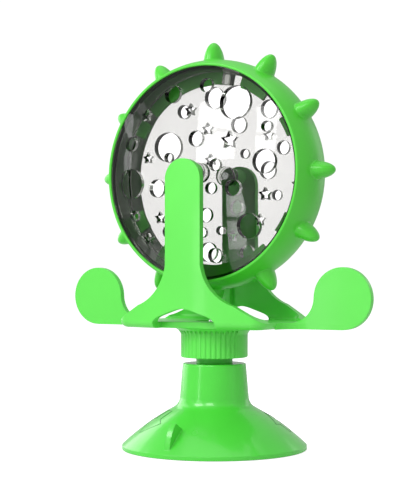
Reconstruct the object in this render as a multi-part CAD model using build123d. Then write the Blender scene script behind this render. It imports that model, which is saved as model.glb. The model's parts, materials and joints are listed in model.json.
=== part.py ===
from build123d import *
import math
import os

# A wheel that drops treats as a pet paws it round. The wheel turns between two uprights
# of a frame, the frame turns on a post, and the post stands on a bell over a suction cup.
# The origin is on the ground under the post. The wheel turns about Y, its front faces -Y,
# and the two round paddles of the frame reach out along X. All sizes are in millimetres.

# Clearances
RUN = 0.06            # a shaft in its bore, on the radius
GAP = 0.3             # between pieces that move past each other

# Suction cup
CUP_GAP = 0.5         # between the cup's edge and the inside of the bell
CUP_LIP = 1.0         # thickness of its edge
CUP_SEAL = 5.0        # width of the flat ring that seals on the ground
CUP_DOME = 3.9        # height of the hollow under the disc
CUP_SHEET = 2.6       # thickness of the sheet over the hollow
CUP_BOSS_R = 9.0      # rubber boss round the foot of the stem
CUP_BOSS_TOP = 13.0

# Stem that pulls the middle of the cup up, with the pin that rides in the bell's slots
STEM_R = 5.5
STEM_TOP = 31.0
STEM_FOOT_R = 7.4
STEM_FOOT_H = 2.0
STEM_FOOT_Z = 7.6     # underside of the stem's foot, inside the rubber boss
PIN_R = 1.5
PIN_HALF = 11.2       # half the length of the cross pin
PIN_Z = 22.0
LIFT = 2.5            # how far the stem rises as the bell is turned
LOCK_TURN = 60.0      # how far the bell turns to lock, in degrees

# Bell
BELL_R = 52.5         # outer radius at the ground
BELL_FLOOR = 0.4      # height of its edge over the ground
BELL_BAND = 2.1       # upright band at the edge
BELL_WALL = 2.4
BELL_TOP_Z = 48.5
BELL_TOP_R = 18.0
NECK_FOOT_Z = 25.2    # where the neck meets the flank
NECK_FOOT_R = 20.0
FLANK_BOW = 1.4       # how far the flank swells over a straight line
NECK_FILLET = 7.0
BELL_EDGE = 0.8
BELL_ROOF = 4.2       # thickness of the top
TUBE_WALL = 2.9       # guide tube for the stem
TUBE_FOOT = 16.5      # height of the tube's lower end
FIN_T = 3.3           # thumb fins for turning the bell
FIN_ROOT_R = 37.0     # where a fin's top edge leaves the flank
FIN_TIP_R = 43.6
FIN_TIP_Z = 18.6
FIN_FOOT_R = 50.0
FIN_FOOT_Z = 4.2
FIN_BULGE = 1.6       # how far its outer edge bows out
FIN_TIP_ROUND = 1.2

# Post that carries the frame
NECK_R = 10.4
NECK_H = 4.5          # height of the thick neck over the bell
JOURNAL_R = 7.5
KEY_R = 6.8           # six-sided foot that stops the post turning in the bell
KEY_H = 2.4
WASHER_T = 1.0
SCREW_R = 1.5
SCREW_HEAD_R = 3.2
SCREW_HEAD_H = 2.0
SCREW_REACH = 9.0     # how far each screw goes into the post

# Sleeve of the frame, turning on the post
SLEEVE_R = 19.05
SLEEVE_FOOT_Z = 51.9
SLEEVE_WALL = 2.5
FLARE_Z = 65.0        # where the sleeve starts to widen
FLARE_R = 26.0
HUB_R = 12.5          # tube round the post
COUNTERBORE = 2.6     # depth of the seat for the upper washer
GRIP_PITCH = 8.6      # angle between grip grooves, in degrees
GRIP_SPAN = 146.0     # angle that each grip patch covers, in degrees
GROOVE_R = 1.1
GROOVE_DEPTH = 0.55

# Frame
PLATE_Z = 69.0        # underside of the plate
PLATE_T = 3.5
FRAME_HALF_X = 47.0   # half the width of the body of the frame
FRAME_Y = 35.26       # outer face of the uprights
CORNER_Y = 31.0       # where the bowed front ends and the corner begins
CORNER_X = 40.0
WALL_T = 3.7
BELLY_ROUND = 4.0     # rounding under the outer edge
INNER_ROUND = 2.8     # rounding inside it, between wall and plate
UPRIGHT_HALF = 11.26  # half the width of an upright, and its end radius
PIVOT_OVER = 4.5      # height of the wheel's axis over the centre of the rounded end
LEG_TOP_Z = 104.0     # where the upright starts to spread into legs
LEG_MID_X = 16.6      # the leg's edge in the bend
LEG_MID_Z = 91.5
LEG_LOW_X = 30.5
LEG_LOW_Z = 81.8
LEG_END_Z = 71.2      # height of the leg's edge at the side of the frame
ARCH_HALF = 20.0      # opening under each upright
ARCH_RISE = 7.6       # height of its crown over the plate
ARCH_DEPTH = 10.5     # how far the opening runs in from the face
ARM_HALF_Y = 1.75     # half the thickness of the paddles and their arms
ARM_ROOT = 12.0       # radius where an arm runs into the frame
PADDLE_X = 80.5
PADDLE_Z = 86.0
PADDLE_R = 16.94
PADDLE_NECK = 14.0    # radius of the hollow between a paddle and its arm
RIB_T = 3.2           # rib that stiffens the foot of each upright
RIB_DEEP = 3.4
RIB_X = 7.6
RIB_TOP = 91.0

# Wheel
AXIS_Z = 156.0
BOSS_R = 5.0          # bosses inside the uprights
HUB_NUB = 1.0         # raised ring round the hub of each cover
PIVOT_R = 2.5
PIVOT_SEAT = 2.0      # how deep a pivot sits in its upright
RIM_R = 65.6          # rim at its crown
RIM_EDGE_R = 61.8
RIM_HALF = 17.2
LIP_R = 60.3          # bore of the rim's two lips
LIP_T = 2.0
LIP_ROUND = 0.6
GROOVE_WALL_R = 60.9  # bore of the rim between its lips
SPIKES = 12
SPIKE_R = 5.3         # half width of a spike round the rim
SPIKE_ALONG = 8.4     # half width along the axle
SPIKE_TIP = 75.8      # radius that the spike tips reach
SPIKE_FOOT = 61.8     # radius where they are widest, inside the rim
SPIKE_ROOT = 0.9      # fillet round the root of each
COVER_WALL = 2.3
COVER_T = 4.0         # thickness of the flat part of a cover
COVER_CROWN = 3.2     # how far the middle of a cover stands out
COLLAR_R = 5.6
COLLAR_DEEP = 3.0     # hub collar inside each cover
LUG_IN_R = 51.5
LUG_T = 2.0
HOOK_T = 2.0          # thickness of the hooks' arms
TWIST = 6.0           # how far the front cover turns to come free, in degrees
HOOK_WEB = 4.4        # the part of a hook that joins its arm to the cover, in degrees
HOOK_GAP = 0.6        # between a hook's web and the end of its wide lug, in degrees

# Lugs of the rim: first angle and width, in degrees from +X towards +Z
WIDE_LUGS = [(82.0, 55.0), (262.0, 47.0)]
SMALL_LUGS = [(22.0, 12.0), (51.0, 19.0), (144.0, 10.0), (202.0, 12.0), (231.0, 19.0), (321.0, 13.0)]

# Holes for treats: x, height over the axis, radius
FRONT_ROUND = [
    (-17.3, 45.4, 5.1), (-46.0, 18.4, 4.1), (-46.0, -4.8, 8.6), (4.8, 49.0, 3.9),
    (23.6, 38.0, 9.4), (-0.9, 19.1, 4.5), (-19.0, 9.2, 2.8), (43.0, 23.6, 3.0),
    (41.7, 4.6, 6.7), (11.6, 3.8, 3.4), (-27.0, -8.0, 5.1), (14.6, -32.8, 2.5),
    (10.5, -46.5, 4.2), (22.7, -9.3, 4.6), (31.9, -30.5, 6.9), (-43.5, -23.5, 3.1),
    (-6.5, -20.0, 5.4), (-18.5, -44.0, 4.4), (2.5, -33.5, 3.0),
]
FRONT_STARS = [
    (-35.2, 34.3, 3.6), (-33.5, 9.5, 3.4), (20.3, 17.1, 5.2), (-25.3, -24.9, 3.6),
    (-33.6, -37.0, 3.6), (42.1, -13.4, 3.8), (-5.0, 35.4, 3.8), (-12.5, -31.5, 3.4),
]
BACK_ROUND = [
    (-7.4, 46.2, 6.2), (-28.4, 39.3, 4.0), (-39.7, 18.9, 8.8), (8.2, 29.7, 4.9),
    (11.8, 12.7, 2.8), (27.0, 2.6, 5.2), (28.6, 37.4, 5.2), (37.4, 14.9, 4.0),
    (-11.2, -6.4, 3.5), (-14.5, -22.3, 4.3), (-12.3, -44.0, 5.6), (6.0, -18.2, 4.2),
    (33.1, -12.0, 3.0), (-34.0, -12.0, 6.0), (-38.5, -31.5, 4.2), (14.0, -44.5, 4.4),
]
BACK_STARS = [
    (-12.9, 28.4, 3.8), (27.6, 22.4, 3.4), (21.8, -26.0, 3.8), (3.8, -35.0, 3.6),
    (-11.5, 10.2, 3.6), (-26.0, -32.0, 3.6), (46.0, -6.0, 3.4),
]

# Heights that follow from the sizes above
plate_top = PLATE_Z + PLATE_T
neck_top = BELL_TOP_Z + NECK_H
hub_foot = neck_top + WASHER_T + GAP
seat_z = plate_top - COUNTERBORE
journal_top = seat_z + GAP
key_floor = BELL_TOP_Z - KEY_H
roof_under = BELL_TOP_Z - BELL_ROOF
cup_r = BELL_R - BELL_WALL - CUP_GAP
tube_bore = STEM_R + RUN
tube_r = tube_bore + TUBE_WALL
round_end_z = AXIS_Z - PIVOT_OVER
inner_y = FRAME_Y - WALL_T
cup_wall_r = GROOVE_WALL_R - GAP
disc_r = LIP_R - GAP
nub_y = RIM_HALF - LIP_ROUND + COVER_CROWN + HUB_NUB
boss_y = nub_y + GAP
shoulder_y = RIM_HALF - LIP_T - GAP
seam_y = LUG_T / 2 + GAP


def polar(radius, angle, height=0.0):
    a = math.radians(angle)
    return (radius * math.cos(a), radius * math.sin(a), height)


def meet(p, d, q, e):
    """Where the line through p along d crosses the line through q along e."""
    t = ((q[0] - p[0]) * e[1] - (q[1] - p[1]) * e[0]) / (d[0] * e[1] - d[1] * e[0])
    return (p[0] + t * d[0], p[1] + t * d[1])


def cap_points(centre, radius, start):
    """Start, middle and top of an arc round a point on the axis, from an angle up to the axis."""
    angles = [math.radians(a) for a in (start, (start + 90) / 2)]
    return [(radius * math.cos(a), centre + radius * math.sin(a)) for a in angles] + [(0, centre + radius)]


def cylinder_z(radius, low, high):
    return extrude(Plane.XY.offset(low) * Circle(radius), high - low)


def ring_z(inner, outer, low, high):
    return cylinder_z(outer, low, high) - cylinder_z(inner, low - 1, high + 1)


def cylinder_y(radius, low, high, x=0.0, z=AXIS_Z):
    place = Plane(origin=(x, low, z), x_dir=(1, 0, 0), z_dir=(0, 1, 0))
    return extrude(place * Circle(radius), high - low)


def turned(points):
    """A solid turned about Z from an outline in radius and height."""
    outline = make_face(Polyline(*[(r, 0, z) for r, z in points], close=True))
    return revolve(outline, Axis.Z, 360)


# Base

def bell_outline(inset):
    """Corners of the bell's outline, moved in by inset: top, foot of the neck, edge, bow."""
    neck = (NECK_FOOT_R - BELL_TOP_R, NECK_FOOT_Z - BELL_TOP_Z)
    flank = (BELL_R - NECK_FOOT_R, BELL_FLOOR + BELL_BAND - NECK_FOOT_Z)
    neck_n = (neck[1] / math.hypot(*neck), -neck[0] / math.hypot(*neck))
    flank_n = (flank[1] / math.hypot(*flank), -flank[0] / math.hypot(*flank))
    on_neck = (BELL_TOP_R + inset * neck_n[0], BELL_TOP_Z + inset * neck_n[1])
    on_flank = (BELL_R + inset * flank_n[0], BELL_FLOOR + BELL_BAND + inset * flank_n[1])
    top = meet(on_neck, neck, (0, BELL_TOP_Z), (1, 0))
    foot = meet(on_neck, neck, on_flank, flank)
    edge = meet(on_flank, flank, (BELL_R - inset, 0), (0, 1))
    middle = ((foot[0] + edge[0]) / 2 - FLANK_BOW * flank_n[0],
              (foot[1] + edge[1]) / 2 - FLANK_BOW * flank_n[1])
    return top, foot, edge, middle


def bell_body(inset, top_z, foot_z):
    top, foot, edge, middle = bell_outline(inset)
    top = (top[0] + (top_z - BELL_TOP_Z) * (foot[0] - top[0]) / (foot[1] - top[1]), top_z)
    lines = [
        Line((0, 0, foot_z), (0, 0, top_z)),
        Line((0, 0, top_z), (top[0], 0, top_z)),
        Line((top[0], 0, top_z), (foot[0], 0, foot[1])),
        ThreePointArc((foot[0], 0, foot[1]), (middle[0], 0, middle[1]), (edge[0], 0, edge[1])),
        Line((edge[0], 0, edge[1]), (edge[0], 0, foot_z)),
        Line((edge[0], 0, foot_z), (0, 0, foot_z)),
    ]
    body = revolve(make_face(lines), Axis.Z, 360)
    crease = body.edges().filter_by(GeomType.CIRCLE).sort_by_distance((foot[0], 0, foot[1]))[0]
    return fillet(crease, NECK_FILLET + inset)


def thumb_fin():
    """One fin on the front of the bell, a blunt shark fin that stands on the flank."""
    top, foot, edge, middle = bell_outline(0)
    share = (FIN_ROOT_R - foot[0]) / (edge[0] - foot[0])
    bow = 4 * share * (1 - share) * FLANK_BOW
    root_z = foot[1] + share * (edge[1] - foot[1]) + bow
    chord = (FIN_FOOT_R - FIN_TIP_R, FIN_FOOT_Z - FIN_TIP_Z)
    length = math.hypot(*chord)
    bulge = ((FIN_FOOT_R + FIN_TIP_R) / 2 - FIN_BULGE * chord[1] / length,
             (FIN_FOOT_Z + FIN_TIP_Z) / 2 + FIN_BULGE * chord[0] / length)
    lines = [
        ThreePointArc((0, -FIN_TIP_R, FIN_TIP_Z), (0, -bulge[0], bulge[1]),
                      (0, -FIN_FOOT_R, FIN_FOOT_Z)),
        Line((0, -FIN_FOOT_R, FIN_FOOT_Z), (0, -FIN_ROOT_R, FIN_FOOT_Z)),
        Line((0, -FIN_ROOT_R, FIN_FOOT_Z), (0, -FIN_ROOT_R, root_z)),
        Line((0, -FIN_ROOT_R, root_z), (0, -FIN_TIP_R, FIN_TIP_Z)),
    ]
    fin = extrude(make_face(lines), FIN_T / 2, both=True)
    tip = fin.edges().filter_by(Axis.X).sort_by(Axis.Z)[-1]
    return fillet(tip, FIN_TIP_ROUND)


def cam_slot(side):
    """The sloping slot that one end of the cross pin follows as the bell turns."""
    width = PIN_R + GAP
    reach = TUBE_WALL + 2
    middle_r = tube_bore + TUBE_WALL / 2
    steps = 12
    slot = None
    for i in range(steps + 1):
        share = i / steps
        angle = side - share * LOCK_TURN
        place = Plane(origin=polar(middle_r - reach / 2, angle, PIN_Z + share * LIFT),
                      z_dir=polar(1, angle))
        bit = extrude(place * Circle(width), reach)
        slot = bit if slot is None else slot + bit
    return slot


def make_bell():
    body = bell_body(0, BELL_TOP_Z, BELL_FLOOR)
    rims = body.edges().filter_by(GeomType.CIRCLE)
    body = fillet([rims.sort_by(Axis.Z)[-1], rims.sort_by(SortBy.RADIUS)[-1]], BELL_EDGE)
    for turn in (0, 180):
        body += Rot(0, 0, turn) * thumb_fin()
    body -= bell_body(BELL_WALL, roof_under, BELL_FLOOR - 1)
    body += ring_z(tube_bore, tube_r, TUBE_FOOT, roof_under)
    body -= extrude(Plane.XY.offset(key_floor) * RegularPolygon(KEY_R, 6), KEY_H + 1)
    body -= cylinder_z(SCREW_R + GAP, roof_under - 1, BELL_TOP_Z)
    for side in (0, 180):
        body -= cam_slot(side)
    return body


def make_suction_cup():
    seal_r = cup_r - CUP_SEAL
    knee_r = cup_r - 2 * CUP_SEAL
    knee_z = CUP_DOME - 1.4
    body = turned([
        (0, CUP_DOME), (CUP_BOSS_R, CUP_DOME), (knee_r, knee_z), (seal_r, 0), (cup_r, 0),
        (cup_r, CUP_LIP), (knee_r, knee_z + CUP_SHEET), (CUP_BOSS_R, CUP_DOME + CUP_SHEET),
        (CUP_BOSS_R, CUP_BOSS_TOP), (0, CUP_BOSS_TOP),
    ])
    body -= cylinder_z(STEM_FOOT_R + RUN, STEM_FOOT_Z - RUN, STEM_FOOT_Z + STEM_FOOT_H + RUN)
    return body - cylinder_z(STEM_R + RUN, STEM_FOOT_Z, CUP_BOSS_TOP + 1)


def make_stem():
    body = cylinder_z(STEM_FOOT_R, STEM_FOOT_Z, STEM_FOOT_Z + STEM_FOOT_H)
    body += cylinder_z(STEM_R, STEM_FOOT_Z, STEM_TOP)
    body = chamfer(body.edges().group_by(Axis.Z)[-1], BELL_EDGE)
    return body - Pos(0, 0, PIN_Z) * Rot(0, 90, 0) * Cylinder(PIN_R, 4 * STEM_R)


def make_cross_pin():
    return Pos(0, 0, PIN_Z) * Rot(0, 90, 0) * Cylinder(PIN_R, 2 * PIN_HALF)


# Post, washers and screws

def make_post():
    body = extrude(Plane.XY.offset(key_floor) * RegularPolygon(KEY_R, 6), KEY_H)
    body += cylinder_z(NECK_R, BELL_TOP_Z, neck_top)
    body += cylinder_z(JOURNAL_R, neck_top, journal_top)
    body -= cylinder_z(SCREW_R, key_floor - 1, key_floor + SCREW_REACH)
    return body - cylinder_z(SCREW_R, journal_top - SCREW_REACH, journal_top + 1)


def washer(outer, low, bore=JOURNAL_R + RUN):
    return ring_z(bore, outer, low, low + WASHER_T)


def pan_screw(length):
    """A screw with its head on top, its seat at height nought and its shank below."""
    head = cylinder_z(SCREW_HEAD_R, 0, SCREW_HEAD_H)
    head = fillet(head.edges().group_by(Axis.Z)[-1], SCREW_HEAD_H / 2)
    slot = Box(SCREW_HEAD_R * 1.1, SCREW_R / 2, SCREW_HEAD_H)
    head -= Pos(0, 0, SCREW_HEAD_H) * (slot + Rot(0, 0, 90) * slot)
    return head + cylinder_z(SCREW_R, -length, 0)


def make_upper_screw():
    return Pos(0, 0, journal_top + WASHER_T) * pan_screw(WASHER_T + SCREW_REACH - 1)


def make_lower_screw():
    return Pos(0, 0, roof_under) * Rot(180, 0, 0) * pan_screw(key_floor - roof_under + SCREW_REACH - 1)


# Sleeve under the frame

def make_sleeve():
    flare_mid = ((SLEEVE_R + FLARE_R) / 2 - 1.4, (FLARE_Z + PLATE_Z) / 2 + 0.8)
    bore = JOURNAL_R + RUN
    lines = [
        Line((bore, 0, hub_foot), (HUB_R, 0, hub_foot)),
        Line((HUB_R, 0, hub_foot), (HUB_R, 0, FLARE_Z)),
        Line((HUB_R, 0, FLARE_Z), (SLEEVE_R - SLEEVE_WALL, 0, FLARE_Z)),
        Line((SLEEVE_R - SLEEVE_WALL, 0, FLARE_Z), (SLEEVE_R - SLEEVE_WALL, 0, SLEEVE_FOOT_Z)),
        Line((SLEEVE_R - SLEEVE_WALL, 0, SLEEVE_FOOT_Z), (SLEEVE_R, 0, SLEEVE_FOOT_Z)),
        Line((SLEEVE_R, 0, SLEEVE_FOOT_Z), (SLEEVE_R, 0, FLARE_Z)),
        ThreePointArc((SLEEVE_R, 0, FLARE_Z), (flare_mid[0], 0, flare_mid[1]), (FLARE_R, 0, PLATE_Z)),
        Line((FLARE_R, 0, PLATE_Z), (HUB_R, 0, PLATE_Z)),
        Line((HUB_R, 0, PLATE_Z), (HUB_R, 0, plate_top)),
        Line((HUB_R, 0, plate_top), (bore, 0, plate_top)),
        Line((bore, 0, plate_top), (bore, 0, hub_foot)),
    ]
    body = revolve(make_face(lines), Axis.Z, 360)
    low_edge = body.edges().filter_by(GeomType.CIRCLE).sort_by_distance((SLEEVE_R, 0, SLEEVE_FOOT_Z))[0]
    body = fillet(low_edge, BELL_EDGE)
    body -= cylinder_z(NECK_R + GAP, seat_z, plate_top + 1)
    count = int(GRIP_SPAN / GRIP_PITCH / 2)
    groove = cylinder_z(GROOVE_R, SLEEVE_FOOT_Z - 1, PLATE_Z - 1)
    grooves = []
    for side in (-90, 90):
        for i in range(-count, count + 1):
            spot = polar(SLEEVE_R + GROOVE_R - GROOVE_DEPTH, side + i * GRIP_PITCH)
            grooves.append(Pos(*spot) * groove)
    return body - grooves


# Frame

def body_plan(inset, low, high):
    """The bowed outline of the frame seen from above, as a block between two heights."""
    x, y = FRAME_HALF_X - inset, FRAME_Y - inset
    cx, cy = CORNER_X - inset, CORNER_Y - inset
    side = cy - (FRAME_HALF_X - CORNER_X)
    round_x = cx + (x - cx) * 0.76
    round_y = side + (cy - side) * 0.56
    lines = []
    for sx, sy in ((1, -1), (1, 1), (-1, 1), (-1, -1)):
        lines.append(ThreePointArc((sx * cx, sy * cy, low), (sx * round_x, sy * round_y, low),
                                   (sx * x, sy * side, low)))
    for sy in (-1, 1):
        lines.append(ThreePointArc((-cx, sy * cy, low), (0, sy * y, low), (cx, sy * cy, low)))
    for sx in (-1, 1):
        lines.append(Line((sx * x, -side, low), (sx * x, side, low)))
    return extrude(make_face(lines), high - low, dir=(0, 0, 1))


def upright_outline():
    """The front outline of an upright and its two legs, from the plate to the round end."""
    end_x = FRAME_HALF_X + 2
    half = []
    for sx in (-1, 1):
        half.append([
            Line((sx * UPRIGHT_HALF, 0, round_end_z), (sx * UPRIGHT_HALF, 0, LEG_TOP_Z)),
            ThreePointArc((sx * UPRIGHT_HALF, 0, LEG_TOP_Z), (sx * LEG_MID_X, 0, LEG_MID_Z),
                          (sx * LEG_LOW_X, 0, LEG_LOW_Z)),
            Line((sx * LEG_LOW_X, 0, LEG_LOW_Z), (sx * end_x, 0, LEG_END_Z)),
            Line((sx * end_x, 0, LEG_END_Z), (sx * end_x, 0, PLATE_Z)),
        ])
    lines = half[0] + half[1] + [
        ThreePointArc((-UPRIGHT_HALF, 0, round_end_z), (0, 0, round_end_z + UPRIGHT_HALF),
                      (UPRIGHT_HALF, 0, round_end_z)),
        Line((-end_x, 0, PLATE_Z), (end_x, 0, PLATE_Z)),
    ]
    return make_face(lines)


def arch(y_low, y_high):
    """The low arch under an upright, with flanks that run out along the plate."""
    crown = plate_top + ARCH_RISE
    knee_x, knee_z = 0.57 * ARCH_HALF, plate_top + 0.62 * ARCH_RISE
    lines = [
        Spline((-ARCH_HALF, y_low, plate_top), (-knee_x, y_low, knee_z), (0, y_low, crown),
               (knee_x, y_low, knee_z), (ARCH_HALF, y_low, plate_top),
               tangents=[(1, 0, 1.4), (1, 0, -1.4)]),
        Line((ARCH_HALF, y_low, plate_top), (ARCH_HALF, y_low, PLATE_Z - 1)),
        Line((ARCH_HALF, y_low, PLATE_Z - 1), (-ARCH_HALF, y_low, PLATE_Z - 1)),
        Line((-ARCH_HALF, y_low, PLATE_Z - 1), (-ARCH_HALF, y_low, plate_top)),
    ]
    return extrude(make_face(lines), y_high - y_low, dir=(0, 1, 0))


def paddle(side):
    """A round paddle with the arm that joins it to the body of the frame."""
    neck_x = PADDLE_X - PADDLE_R - PADDLE_NECK
    neck_z = plate_top + PADDLE_NECK
    mid = PADDLE_NECK * math.sqrt(0.5)
    lines = [
        Line((0, 0, PLATE_Z), (PADDLE_X, 0, PLATE_Z)),
        Line((PADDLE_X, 0, PLATE_Z), (PADDLE_X, 0, neck_z)),
        Line((PADDLE_X, 0, neck_z), (neck_x + PADDLE_NECK, 0, neck_z)),
        ThreePointArc((neck_x + PADDLE_NECK, 0, neck_z), (neck_x + mid, 0, neck_z - mid),
                      (neck_x, 0, plate_top)),
        Line((neck_x, 0, plate_top), (0, 0, plate_top)),
        Line((0, 0, plate_top), (0, 0, PLATE_Z)),
    ]
    blade = extrude(make_face(lines), ARM_HALF_Y, both=True)
    blade += cylinder_y(PADDLE_R, -ARM_HALF_Y, ARM_HALF_Y, PADDLE_X, PADDLE_Z)
    return blade if side > 0 else mirror(blade, about=Plane.YZ)


def arm_root(sx, sy):
    """The hollow corner that widens an arm where it leaves the plate."""
    x, y = FRAME_HALF_X, ARM_HALF_Y
    reach = x + ARM_ROOT
    mid = ARM_ROOT * (1 - math.sqrt(0.5))
    lines = [
        Line((sx * (x - 1), sy * (y - 0.5), PLATE_Z), (sx * reach, sy * (y - 0.5), PLATE_Z)),
        Line((sx * reach, sy * (y - 0.5), PLATE_Z), (sx * reach, sy * y, PLATE_Z)),
        ThreePointArc((sx * reach, sy * y, PLATE_Z), (sx * (x + mid), sy * (y + mid), PLATE_Z),
                      (sx * x, sy * (y + ARM_ROOT), PLATE_Z)),
        Line((sx * x, sy * (y + ARM_ROOT), PLATE_Z), (sx * (x - 1), sy * (y + ARM_ROOT), PLATE_Z)),
        Line((sx * (x - 1), sy * (y + ARM_ROOT), PLATE_Z), (sx * (x - 1), sy * (y - 0.5), PLATE_Z)),
    ]
    return extrude(make_face(lines), PLATE_T, dir=(0, 0, 1))


def make_frame():
    top = round_end_z + UPRIGHT_HALF
    shell = body_plan(0, PLATE_Z, top + 1)
    shell = fillet(shell.edges().group_by(Axis.Z)[0], BELLY_ROUND)
    room = body_plan(WALL_T, plate_top, top + 2)
    shell -= fillet(room.edges().group_by(Axis.Z)[0], INNER_ROUND)
    body = shell & extrude(upright_outline(), FRAME_Y + 1, both=True)
    side_cut = Pos(0, 0, plate_top) * Box(4 * FRAME_HALF_X, 2 * (CORNER_Y - WALL_T - 7), 2 * top,
                                          align=(Align.CENTER, Align.CENTER, Align.MIN))
    body -= side_cut
    for sx in (-1, 1):
        body += paddle(sx)
        for sy in (-1, 1):
            body += arm_root(sx, sy)
    rib = Box(RIB_T, RIB_DEEP + 1, RIB_TOP - PLATE_Z - 1, align=(Align.CENTER, Align.MIN, Align.MIN))
    for turn in (0, 180):
        body += Rot(0, 0, turn) * Pos(-RIB_X, inner_y - RIB_DEEP, PLATE_Z + 1) * rib
    body -= arch(-FRAME_Y - 1, ARCH_DEPTH - FRAME_Y)
    body -= arch(FRAME_Y - ARCH_DEPTH, FRAME_Y + 1)
    for sy in (-1, 1):
        low, high = sorted((sy * boss_y, sy * (inner_y + WALL_T / 2)))
        body += cylinder_y(BOSS_R, low, high)
        low, high = sorted((sy * (boss_y - 1), sy * (inner_y + PIVOT_SEAT)))
        body -= cylinder_y(PIVOT_R, low, high)
    return body - cylinder_z(HUB_R, PLATE_Z - 1, plate_top + 1)


def make_pivot(sy):
    """A round pin pressed into an upright's boss, with its free end in the cover's hub."""
    inner = sy * (nub_y - HUB_NUB - COVER_T - COLLAR_DEEP + 1)
    low, high = sorted((inner, sy * (inner_y + PIVOT_SEAT)))
    pin = cylinder_y(PIVOT_R, low, high)
    free_end = pin.edges().filter_by(GeomType.CIRCLE).sort_by_distance((0, inner, AXIS_Z))[0]
    return chamfer(free_end, PIVOT_R / 5)


# Wheel

def lug(inner, outer, y_low, y_high, start, width):
    """A segment of a flat ring, from the angle start over width degrees."""
    ends = [polar(r, a) for r in (inner, outer) for a in (start, start + width / 2, start + width)]
    lines = [
        ThreePointArc(ends[0], ends[1], ends[2]),
        Line(ends[2], ends[5]),
        ThreePointArc(ends[5], ends[4], ends[3]),
        Line(ends[3], ends[0]),
    ]
    face = Plane(origin=(0, y_low, AXIS_Z), x_dir=(1, 0, 0), z_dir=(0, -1, 0)) * make_face(lines)
    return extrude(face, -(y_high - y_low))


def spike():
    """A blunt oval spike, half of a long ellipsoid, with its tip up."""
    length = SPIKE_TIP - SPIKE_FOOT
    lines = [
        EllipticalCenterArc((0, 0), SPIKE_R, length, arc_size=90),
        Line((0, length), (0, 0)),
        Line((0, 0), (SPIKE_R, 0)),
    ]
    body = revolve(Plane.XZ * make_face(lines), Axis.Z, 360)
    return scale(Rot(0, 0, 45) * body, (1, SPIKE_ALONG / SPIKE_R, 1))


def make_rim():
    half, lip = RIM_HALF, RIM_HALF - LIP_T
    lines = [
        ThreePointArc((RIM_EDGE_R, 0, -half), (RIM_R, 0, 0), (RIM_EDGE_R, 0, half)),
        Line((RIM_EDGE_R, 0, half), (LIP_R, 0, half)),
        Line((LIP_R, 0, half), (LIP_R, 0, lip)),
        Line((LIP_R, 0, lip), (GROOVE_WALL_R, 0, lip)),
        Line((GROOVE_WALL_R, 0, lip), (GROOVE_WALL_R, 0, -lip)),
        Line((GROOVE_WALL_R, 0, -lip), (LIP_R, 0, -lip)),
        Line((LIP_R, 0, -lip), (LIP_R, 0, -half)),
        Line((LIP_R, 0, -half), (RIM_EDGE_R, 0, -half)),
    ]
    ring = revolve(make_face(lines), Axis.Z, 360)
    edges = ring.edges().filter_by(GeomType.CIRCLE)
    ring = fillet(edges.group_by(Axis.Z)[0] + edges.group_by(Axis.Z)[-1], LIP_ROUND)
    rim = Rot(90, 0, 0) * Rot(0, 0, 180 / SPIKES) * ring
    for i in range(SPIKES):
        rim += Rot(0, i * 360 / SPIKES, 0) * Pos(0, 0, SPIKE_FOOT) * spike()
    roots = []
    for edge in rim.edges():
        middle = edge.center()
        if edge.length < 4 * math.pi * SPIKE_ALONG and math.hypot(middle.X, middle.Z) > RIM_EDGE_R:
            roots.append(edge)
    rim = Pos(0, 0, AXIS_Z) * fillet(roots, SPIKE_ROOT)
    for start, width in WIDE_LUGS + SMALL_LUGS:
        rim += lug(LUG_IN_R, GROOVE_WALL_R + 1, -LUG_T / 2, LUG_T / 2, start, width)
    return rim


def star(radius):
    """A five-pointed star with blunt points."""
    points = []
    for i in range(10):
        r = radius if i % 2 == 0 else 0.5 * radius
        points.append((r * math.cos(math.radians(90 + 36 * i)), r * math.sin(math.radians(90 + 36 * i))))
    return make_face(Polyline(*points, close=True))


def hole_cutters(rounds, stars):
    """Prisms along Y for every hole of one cover."""
    face = Plane(origin=(0, -RIM_HALF * 2, AXIS_Z), x_dir=(1, 0, 0), z_dir=(0, -1, 0))
    cutters = []
    for x, z, r in rounds:
        cutters.append(extrude(face * Pos(x, z) * Circle(r), -4 * RIM_HALF))
    for x, z, r in stars:
        cutters.append(extrude(face * Pos(x, z) * star(r), -4 * RIM_HALF))
    return cutters


def drum_cup():
    """The bare cup of one cover, open towards +Y, with its hub."""
    seam = -seam_y
    crown_y = -(nub_y - HUB_NUB)
    disc_edge = -(RIM_HALF - LIP_ROUND)

    def dome(y_edge, y_mid, radius, y_back):
        rise = y_edge - y_mid
        curve = (radius ** 2 + rise ** 2) / (2 * rise)
        edge_angle = 90 - math.degrees(math.asin(radius / curve))
        arc = [(r, -y, 0) for r, y in cap_points(-y_mid - curve, curve, edge_angle)]
        lines = [
            ThreePointArc(*arc),
            Line((radius, y_edge, 0), (radius, y_back, 0)),
            Line((radius, y_back, 0), (0, y_back, 0)),
            Line((0, y_back, 0), (0, y_mid, 0)),
        ]
        return revolve(make_face(lines), Axis.Y, 360)

    inner_r = cup_wall_r - COVER_WALL
    body = dome(disc_edge, crown_y, disc_r, seam)
    step = Rot(-90, 0, 0) * ring_z(disc_r - 1, cup_wall_r, -shoulder_y, seam)
    body += step
    body -= dome(disc_edge + COVER_T, crown_y + COVER_T, inner_r, seam + 1)
    body += Rot(-90, 0, 0) * cylinder_z(COLLAR_R, crown_y - HUB_NUB, crown_y + COVER_T + COLLAR_DEEP)
    body -= Rot(-90, 0, 0) * cylinder_z(PIVOT_R + RUN, crown_y - HUB_NUB - 1, 0)
    return Pos(0, 0, AXIS_Z) * body


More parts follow.
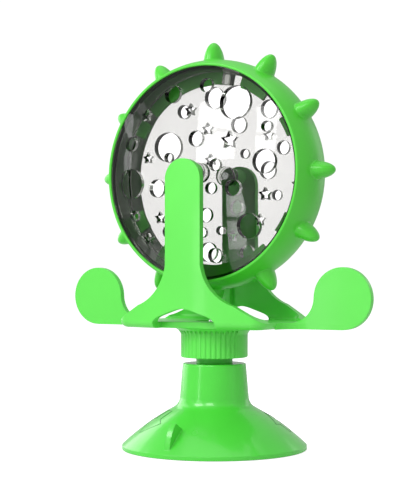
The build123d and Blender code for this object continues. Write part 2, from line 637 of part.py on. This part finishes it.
def make_front_cover():
    body = drum_cup() - hole_cutters(FRONT_ROUND, FRONT_STARS)
    inner_r = cup_wall_r - COVER_WALL
    foot = -seam_y - HOOK_T
    tip = seam_y + HOOK_T
    for lug_start, _ in WIDE_LUGS:
        start = lug_start - HOOK_GAP - HOOK_WEB
        reach = HOOK_WEB + HOOK_GAP + TWIST - 1
        body += lug(LUG_IN_R, inner_r + COVER_WALL / 2, foot, -seam_y, start, HOOK_WEB)
        body += lug(LUG_IN_R, inner_r - GAP, foot, tip, start, HOOK_WEB)
        body += lug(LUG_IN_R, inner_r - GAP, seam_y, tip, start, reach)
    return body


def make_back_cover():
    return mirror(drum_cup(), about=Plane.XZ) - hole_cutters(BACK_ROUND, BACK_STARS)


PARTS = {
    "suction_cup": make_suction_cup,
    "cup_stem": make_stem,
    "cross_pin": make_cross_pin,
    "bell": make_bell,
    "post": make_post,
    "lower_screw": make_lower_screw,
    "thrust_washer": lambda: washer(NECK_R, neck_top),
    "frame_sleeve": make_sleeve,
    "frame": make_frame,
    "upper_washer": lambda: washer(NECK_R, journal_top, SCREW_R + RUN),
    "upper_screw": make_upper_screw,
    "front_pivot": lambda: make_pivot(-1),
    "back_pivot": lambda: make_pivot(1),
    "rim": make_rim,
    "front_cover": make_front_cover,
    "back_cover": make_back_cover,
}

os.makedirs("parts", exist_ok=True)
for name, make in PARTS.items():
    export_step(make(), os.path.join("parts", name + ".step"))
    print("wrote", name)
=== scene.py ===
import json
import math

import bpy
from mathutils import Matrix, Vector


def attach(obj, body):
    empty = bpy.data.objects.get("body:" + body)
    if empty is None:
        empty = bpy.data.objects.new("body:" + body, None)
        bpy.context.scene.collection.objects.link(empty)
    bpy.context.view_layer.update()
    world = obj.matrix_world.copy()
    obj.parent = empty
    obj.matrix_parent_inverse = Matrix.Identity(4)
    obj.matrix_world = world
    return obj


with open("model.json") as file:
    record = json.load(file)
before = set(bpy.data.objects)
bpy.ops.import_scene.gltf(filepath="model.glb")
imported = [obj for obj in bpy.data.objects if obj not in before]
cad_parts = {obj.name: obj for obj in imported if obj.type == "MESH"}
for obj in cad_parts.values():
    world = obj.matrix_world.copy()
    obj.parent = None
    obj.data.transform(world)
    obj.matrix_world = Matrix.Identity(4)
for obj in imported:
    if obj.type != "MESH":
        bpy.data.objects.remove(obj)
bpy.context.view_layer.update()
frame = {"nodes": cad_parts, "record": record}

MM = 0.001
WHITE = (1.0, 1.0, 1.0)

# Camera, solved from the circles of the wheel, the base and the paddles
CAMERA_AT = (0.36212, -0.61663, 0.10032)
CAMERA_LOOK = (-0.51332795, 0.85778766, 0.02635806)
CAMERA_LENS = 94.19

# Opaque finishes: colour and gloss follow one broad noise, and the grain a fine one
DRIFT_SCALE = 18.0
DRIFT_SHADE = 0.90     # the darkest share of the colour
DRIFT_GLOSS = 0.06     # share by which the roughness strays to either side
NOISE_RANGE = (0.3, 0.7)   # the values of a noise that are spread over the whole drift
GRAIN_SCALE = 260.0
GRAIN_DETAIL = 2.0
GRAIN_DEPTH = 0.05 * MM
COAT_ROUGHNESS = 0.10
EDGE_SAMPLES = 8
SMOOTH_ANGLE = math.radians(32)
GREEN = (0.115, 0.76, 0.078)

# Smoked clear plastic of the covers
COVER_TINT = (0.97, 0.97, 0.965)
COVER_SHADOW = (0.62, 0.62, 0.62)
COVER_IOR = 1.47
COVER_ROUGHNESS = 0.02
COVER_DRIFT_SCALE = 30.0
COVER_DRIFT_SHADE = 0.97
SMOKE = (0.508, 0.527, 0.488)
SMOKE_DENSITY = 210.0

# Outline of the bell's flank in millimetres, as radius and height, for the marks that lie on it
FLANK_TOP = (20.0, 25.2)
FLANK_FOOT = (52.5, 2.5)
FLANK_BOW = 1.708      # how far it rises above the straight line halfway

# Arrow marks in millimetres and degrees: the angle of the middle line, then the corners of one half
# as radius and angle from that line
ARROWS = (
    (-134.0, ((25.9, 7.0), (32.8, 7.5), (35.3, 17.0), (43.5, 0.0))),
    (27.0, ((43.5, 6.0), (37.6, 8.0), (36.8, 17.0), (28.5, 0.0))),
)
MARK_R = 0.15          # half the width of the line
MARK_STEPS = 6         # points along each side
# The marks' dark green is painted shade, standing in for the shade inside the moulded arrow grooves
GROOVE_SHADE_COLOR = (0.010, 0.11, 0.010)
MARK_ROUGHNESS = 0.6

# How bright the white surroundings are for each kind of ray
ROOM_LEVEL = 0.45      # light on the object
GLOSS_LEVEL = 0.55     # mirrored in glossy surfaces
EDGE_LEVEL = 0.15      # light that bounced about inside clear plastic
BEHIND_LEVEL = 2.48    # seen straight through the smoked covers
BEHIND_TINT = (1.010, 0.965, 1.030)
SEEN_LEVEL = 1.05      # seen by the camera

FLOOR_HALF = 6.0
FLOOR_SHADES = (0.78, 0.80)
FLOOR_NOISE = 4.0
FLOOR_GLOW = 0.75      # lifts the floor to white for the camera

# Lights: name, place, width and height in metres, power in watts
OBJECT_MIDDLE = (0, 0, 0.12)
KEYS = (
    ("key_left", (-0.435, -0.753, 0.760), (0.45, 0.38), 4.35),
    ("key_right", (0.196, -0.848, 0.707), (0.42, 0.48), 3.75),
)
FILLS = (
    ("side_right", (0.95, 0.10, 0.45), (0.45, 0.90), 0.25),
    ("side_left", (-0.95, -0.05, 0.40), (0.30, 0.80), 0.90),
    ("back_left", (-1.05, 0.38, 0.30), (0.60, 0.90), 2.60),
    ("back_right", (0.30, 1.10, 0.35), (0.30, 0.60), 0.40),
    ("top", (0.0, 0.1, 1.0), (0.80, 0.80), 1.50),
)

# Window panes that the front cover mirrors: x, z, width and height in metres, power in watts
COVER_MIDDLE = (0.02, -0.02, 0.13)
PANE_Y = -0.85
PANES = (
    (-0.360, 0.140, 0.074, 0.080, 0.095),
    (-0.360, 0.046, 0.074, 0.084, 0.085),
    (-0.470, 0.400, 0.068, 0.085, 0.085),
    (-0.394, 0.400, 0.068, 0.085, 0.085),
    (-0.470, 0.308, 0.068, 0.080, 0.080),
    (-0.394, 0.308, 0.068, 0.080, 0.080),
    (-0.252, 0.370, 0.066, 0.075, 0.070),
    (-0.252, 0.286, 0.066, 0.075, 0.070),
    (-0.860, 0.330, 0.030, 0.240, 0.080),
)


# Materials

def node_material(name):
    """An empty node material with its output."""
    mat = bpy.data.materials.new(name)
    mat.use_nodes = True
    tree = mat.node_tree
    tree.nodes.clear()
    out = tree.nodes.new("ShaderNodeOutputMaterial")
    return mat, tree, out


def noise(tree, scale, detail=3.0):
    """A noise in the piece's own space."""
    coord = tree.nodes.new("ShaderNodeTexCoord")
    tex = tree.nodes.new("ShaderNodeTexNoise")
    tex.inputs["Scale"].default_value = scale
    tex.inputs["Detail"].default_value = detail
    tree.links.new(coord.outputs["Object"], tex.inputs["Vector"])
    return tex.outputs["Fac"]


def spread(tree, source, low, high):
    """A value between low and high that follows a noise."""
    node = tree.nodes.new("ShaderNodeMapRange")
    node.inputs["From Min"].default_value = NOISE_RANGE[0]
    node.inputs["From Max"].default_value = NOISE_RANGE[1]
    node.inputs["To Min"].default_value = low
    node.inputs["To Max"].default_value = high
    tree.links.new(source, node.inputs["Value"])
    return node.outputs["Result"]


def drifting_color(tree, source, color, shade):
    """A colour that drifts between itself and a darker shade as a noise does."""
    node = tree.nodes.new("ShaderNodeMix")
    node.data_type = "RGBA"
    node.inputs["A"].default_value = (*color, 1)
    node.inputs["B"].default_value = (*(channel * shade for channel in color), 1)
    tree.links.new(spread(tree, source, 0.0, 1.0), node.inputs["Factor"])
    return node.outputs["Result"]


def solid(name, color, roughness, metallic=0.0, coat=0.0, edge=0.35, grain=0.0):
    """An opaque material. Its edges catch the light as if rounded, by a radius in millimetres."""
    mat, tree, out = node_material(name)
    bsdf = tree.nodes.new("ShaderNodeBsdfPrincipled")
    broad = noise(tree, DRIFT_SCALE)
    tree.links.new(drifting_color(tree, broad, color, DRIFT_SHADE), bsdf.inputs["Base Color"])
    rough = spread(tree, broad, roughness * (1 - DRIFT_GLOSS), roughness * (1 + DRIFT_GLOSS))
    tree.links.new(rough, bsdf.inputs["Roughness"])
    bsdf.inputs["Metallic"].default_value = metallic
    bsdf.inputs["Coat Weight"].default_value = coat
    bsdf.inputs["Coat Roughness"].default_value = COAT_ROUGHNESS
    rounded = tree.nodes.new("ShaderNodeBevel")
    rounded.samples = EDGE_SAMPLES
    rounded.inputs["Radius"].default_value = edge * MM
    normal = rounded.outputs["Normal"]
    if grain:
        bump = tree.nodes.new("ShaderNodeBump")
        bump.inputs["Strength"].default_value = grain
        bump.inputs["Distance"].default_value = GRAIN_DEPTH
        tree.links.new(noise(tree, GRAIN_SCALE, GRAIN_DETAIL), bump.inputs["Height"])
        tree.links.new(normal, bump.inputs["Normal"])
        normal = bump.outputs["Normal"]
    tree.links.new(normal, bsdf.inputs["Normal"])
    tree.links.new(bsdf.outputs["BSDF"], out.inputs["Surface"])
    return mat


def smoked_clear(name):
    """Clear plastic that darkens what lies behind it, most of all where it is seen along its wall."""
    mat, tree, out = node_material(name)
    bsdf = tree.nodes.new("ShaderNodeBsdfPrincipled")
    broad = noise(tree, COVER_DRIFT_SCALE)
    tint = drifting_color(tree, broad, COVER_TINT, COVER_DRIFT_SHADE)
    tree.links.new(tint, bsdf.inputs["Base Color"])
    bsdf.inputs["Roughness"].default_value = COVER_ROUGHNESS
    bsdf.inputs["IOR"].default_value = COVER_IOR
    bsdf.inputs["Transmission Weight"].default_value = 1.0

    # Shadows and soft light pass straight through, so that the inside of the drum is lit
    see = tree.nodes.new("ShaderNodeBsdfTransparent")
    see.inputs["Color"].default_value = (*COVER_SHADOW, 1)
    path = tree.nodes.new("ShaderNodeLightPath")
    soft = tree.nodes.new("ShaderNodeMath")
    soft.operation = "MAXIMUM"
    tree.links.new(path.outputs["Is Shadow Ray"], soft.inputs[0])
    tree.links.new(path.outputs["Is Diffuse Ray"], soft.inputs[1])
    mix = tree.nodes.new("ShaderNodeMixShader")
    tree.links.new(soft.outputs["Value"], mix.inputs["Fac"])
    tree.links.new(bsdf.outputs["BSDF"], mix.inputs[1])
    tree.links.new(see.outputs["BSDF"], mix.inputs[2])
    tree.links.new(mix.outputs["Shader"], out.inputs["Surface"])

    inside = tree.nodes.new("ShaderNodeVolumeAbsorption")
    inside.inputs["Color"].default_value = (*SMOKE, 1)
    inside.inputs["Density"].default_value = SMOKE_DENSITY
    tree.links.new(inside.outputs["Volume"], out.inputs["Volume"])
    return mat


def dress_solids():
    """Gives each CAD node the material of its slot in the record."""
    materials = {
        "bell": solid("green_bell", (0.080, 0.70, 0.052), 0.26, coat=0.4, edge=0.8),
        # The neck's green is painted light: brighter than the frame's green, to lift the neck out of the
        # shade under the sleeve
        "neck": solid("green_neck", (0.07, 0.82, 0.045), 0.35),
        "sleeve": solid("green_sleeve", GREEN, 0.34, coat=0.2, edge=0.25),
        "frame": solid("green_frame", GREEN, 0.36, coat=0.25, edge=0.45),
        "rim": solid("green_rim", (0.082, 0.65, 0.040), 0.32),
        "cover": smoked_clear("smoked_front"),
        "cover_back": smoked_clear("smoked_back"),
        "rubber": solid("pale_rubber", (0.62, 0.65, 0.64), 0.42, grain=0.2),
        "stem": solid("pale_plastic", (0.70, 0.71, 0.70), 0.45),
        "washer": solid("white_nylon", (0.78, 0.78, 0.75), 0.40),
        "steel": solid("steel", (0.60, 0.61, 0.63), 0.24, metallic=1.0, grain=0.15),
    }
    for part in frame["record"]["subparts"]:
        node = frame["nodes"][part["node"]]
        node.data.materials.clear()
        node.data.materials.append(materials[part["material_slot"]])
        bpy.context.view_layer.objects.active = node
        node.select_set(True)
        bpy.ops.object.shade_smooth_by_angle(angle=SMOOTH_ANGLE)
        node.select_set(False)


# Arrows that show which way to turn the bell

def on_flank(radius, angle):
    """A point on the bell's flank at a radius in millimetres and an angle in degrees."""
    share = (radius - FLANK_TOP[0]) / (FLANK_FOOT[0] - FLANK_TOP[0])
    height = FLANK_TOP[1] + share * (FLANK_FOOT[1] - FLANK_TOP[1])
    height += 4 * share * (1 - share) * FLANK_BOW
    a = math.radians(angle)
    return Vector((radius * math.cos(a), radius * math.sin(a), height)) * MM


def arrow_outline(middle, half):
    """Points along the outline of an arrow that lies on the flank."""
    corners = list(half) + [(radius, -angle) for radius, angle in reversed(half[:-1])]
    points = []
    for (r0, a0), (r1, a1) in zip(corners, corners[1:] + corners[:1]):
        for i in range(MARK_STEPS):
            t = i / MARK_STEPS
            points.append(on_flank(r0 + t * (r1 - r0), middle + a0 + t * (a1 - a0)))
    return points


def draw_arrows():
    # Dark material for the arrow lines: painted shade of the moulded grooves
    groove_shade = solid("green_groove", GROOVE_SHADE_COLOR, MARK_ROUGHNESS)
    for index, (middle, half) in enumerate(ARROWS):
        name = "arrow_mark_%d" % index
        curve = bpy.data.curves.new(name, "CURVE")
        curve.dimensions = "3D"
        curve.bevel_depth = MARK_R * MM
        curve.bevel_resolution = 1
        points = arrow_outline(middle, half)
        spline = curve.splines.new("POLY")
        spline.points.add(len(points) - 1)
        for target, point in zip(spline.points, points):
            target.co = (*point, 1)
        spline.use_cyclic_u = True
        mark = bpy.data.objects.new(name, curve)
        bpy.context.scene.collection.objects.link(mark)
        curve.materials.append(groove_shade)
        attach(mark, "bell")


# Floor, light and camera

def math_node(tree, operation, first, second):
    """A Math node of an output and either a number or another output."""
    node = tree.nodes.new("ShaderNodeMath")
    node.operation = operation
    tree.links.new(first, node.inputs[0])
    if isinstance(second, float):
        node.inputs[1].default_value = second
    else:
        tree.links.new(second, node.inputs[1])
    return node.outputs["Value"]


def straight_through(tree, path):
    """One for what is seen straight through clear plastic, nought for its edges and for bounced light."""
    result = path.outputs["Is Transmission Ray"]
    for depth in ("Diffuse Depth", "Glossy Depth"):
        no_bounce = math_node(tree, "LESS_THAN", path.outputs[depth], 0.5)
        result = math_node(tree, "MULTIPLY", result, no_bounce)
    return result


def floor_material():
    """A pale floor that glows up to white where the camera sees it, also through the covers."""
    mat, tree, out = node_material("floor_white")
    diffuse = tree.nodes.new("ShaderNodeBsdfDiffuse")
    level = spread(tree, noise(tree, FLOOR_NOISE), *FLOOR_SHADES)
    pale = tree.nodes.new("ShaderNodeCombineColor")
    for channel in ("Red", "Green", "Blue"):
        tree.links.new(level, pale.inputs[channel])
    tree.links.new(pale.outputs["Color"], diffuse.inputs["Color"])
    path = tree.nodes.new("ShaderNodeLightPath")
    seen = math_node(tree, "MULTIPLY", path.outputs["Is Camera Ray"], FLOOR_GLOW)
    behind = math_node(tree, "MULTIPLY", straight_through(tree, path), BEHIND_LEVEL - 1.0)
    glow = tree.nodes.new("ShaderNodeEmission")
    tree.links.new(math_node(tree, "ADD", seen, behind), glow.inputs["Strength"])
    add = tree.nodes.new("ShaderNodeAddShader")
    tree.links.new(diffuse.outputs["BSDF"], add.inputs[0])
    tree.links.new(glow.outputs["Emission"], add.inputs[1])
    tree.links.new(add.outputs["Shader"], out.inputs["Surface"])
    return mat


def build_floor():
    mesh = bpy.data.meshes.new("floor")
    corners = [(x * FLOOR_HALF, y * FLOOR_HALF, 0) for x, y in ((-1, -1), (1, -1), (1, 1), (-1, 1))]
    mesh.from_pydata(corners, [], [(0, 1, 2, 3)])
    mesh.materials.append(floor_material())
    floor = bpy.data.objects.new("floor", mesh)
    bpy.context.scene.collection.objects.link(floor)


def plain_light(tree, level, tint):
    node = tree.nodes.new("ShaderNodeBackground")
    node.inputs["Color"].default_value = (*tint, 1)
    node.inputs["Strength"].default_value = level
    return node.outputs["Background"]


def build_world():
    """White surroundings whose brightness depends on the kind of ray. Later layers win."""
    world = bpy.data.worlds.new("studio")
    bpy.context.scene.world = world
    world.use_nodes = True
    tree = world.node_tree
    tree.nodes.clear()
    out = tree.nodes.new("ShaderNodeOutputWorld")
    path = tree.nodes.new("ShaderNodeLightPath")
    layers = (
        (path.outputs["Is Transmission Ray"], EDGE_LEVEL, WHITE),
        (path.outputs["Is Glossy Ray"], GLOSS_LEVEL, WHITE),
        (straight_through(tree, path), BEHIND_LEVEL, BEHIND_TINT),
        (path.outputs["Is Camera Ray"], SEEN_LEVEL, WHITE),
    )
    shader = plain_light(tree, ROOM_LEVEL, WHITE)
    for chooser, level, tint in layers:
        mix = tree.nodes.new("ShaderNodeMixShader")
        tree.links.new(chooser, mix.inputs["Fac"])
        tree.links.new(shader, mix.inputs[1])
        tree.links.new(plain_light(tree, level, tint), mix.inputs[2])
        shader = mix.outputs["Shader"]
    tree.links.new(shader, out.inputs["Surface"])


def area_light(name, at, target, size, power):
    data = bpy.data.lights.new(name, "AREA")
    data.shape = "RECTANGLE"
    data.size, data.size_y = size
    data.energy = power
    light = bpy.data.objects.new(name, data)
    light.location = at
    light.rotation_mode = "QUATERNION"
    light.rotation_quaternion = (Vector(target) - Vector(at)).to_track_quat("-Z", "Y")
    bpy.context.scene.collection.objects.link(light)


def build_lights():
    for name, at, size, power in KEYS:
        area_light(name, at, OBJECT_MIDDLE, size, power)
    for index, (x, z, wide, tall, power) in enumerate(PANES):
        area_light("pane_%d" % index, (x, PANE_Y, z), COVER_MIDDLE, (wide, tall), power)
    for name, at, size, power in FILLS:
        area_light(name, at, OBJECT_MIDDLE, size, power)


def build_camera():
    data = bpy.data.cameras.new("camera")
    data.lens = CAMERA_LENS
    camera = bpy.data.objects.new("camera", data)
    camera.location = CAMERA_AT
    camera.rotation_mode = "QUATERNION"
    camera.rotation_quaternion = Vector(CAMERA_LOOK).to_track_quat("-Z", "Y")
    bpy.context.scene.collection.objects.link(camera)
    bpy.context.scene.camera = camera


dress_solids()
draw_arrows()
build_floor()
build_world()
build_lights()
build_camera()
bpy.context.scene.view_settings.view_transform = "Standard"
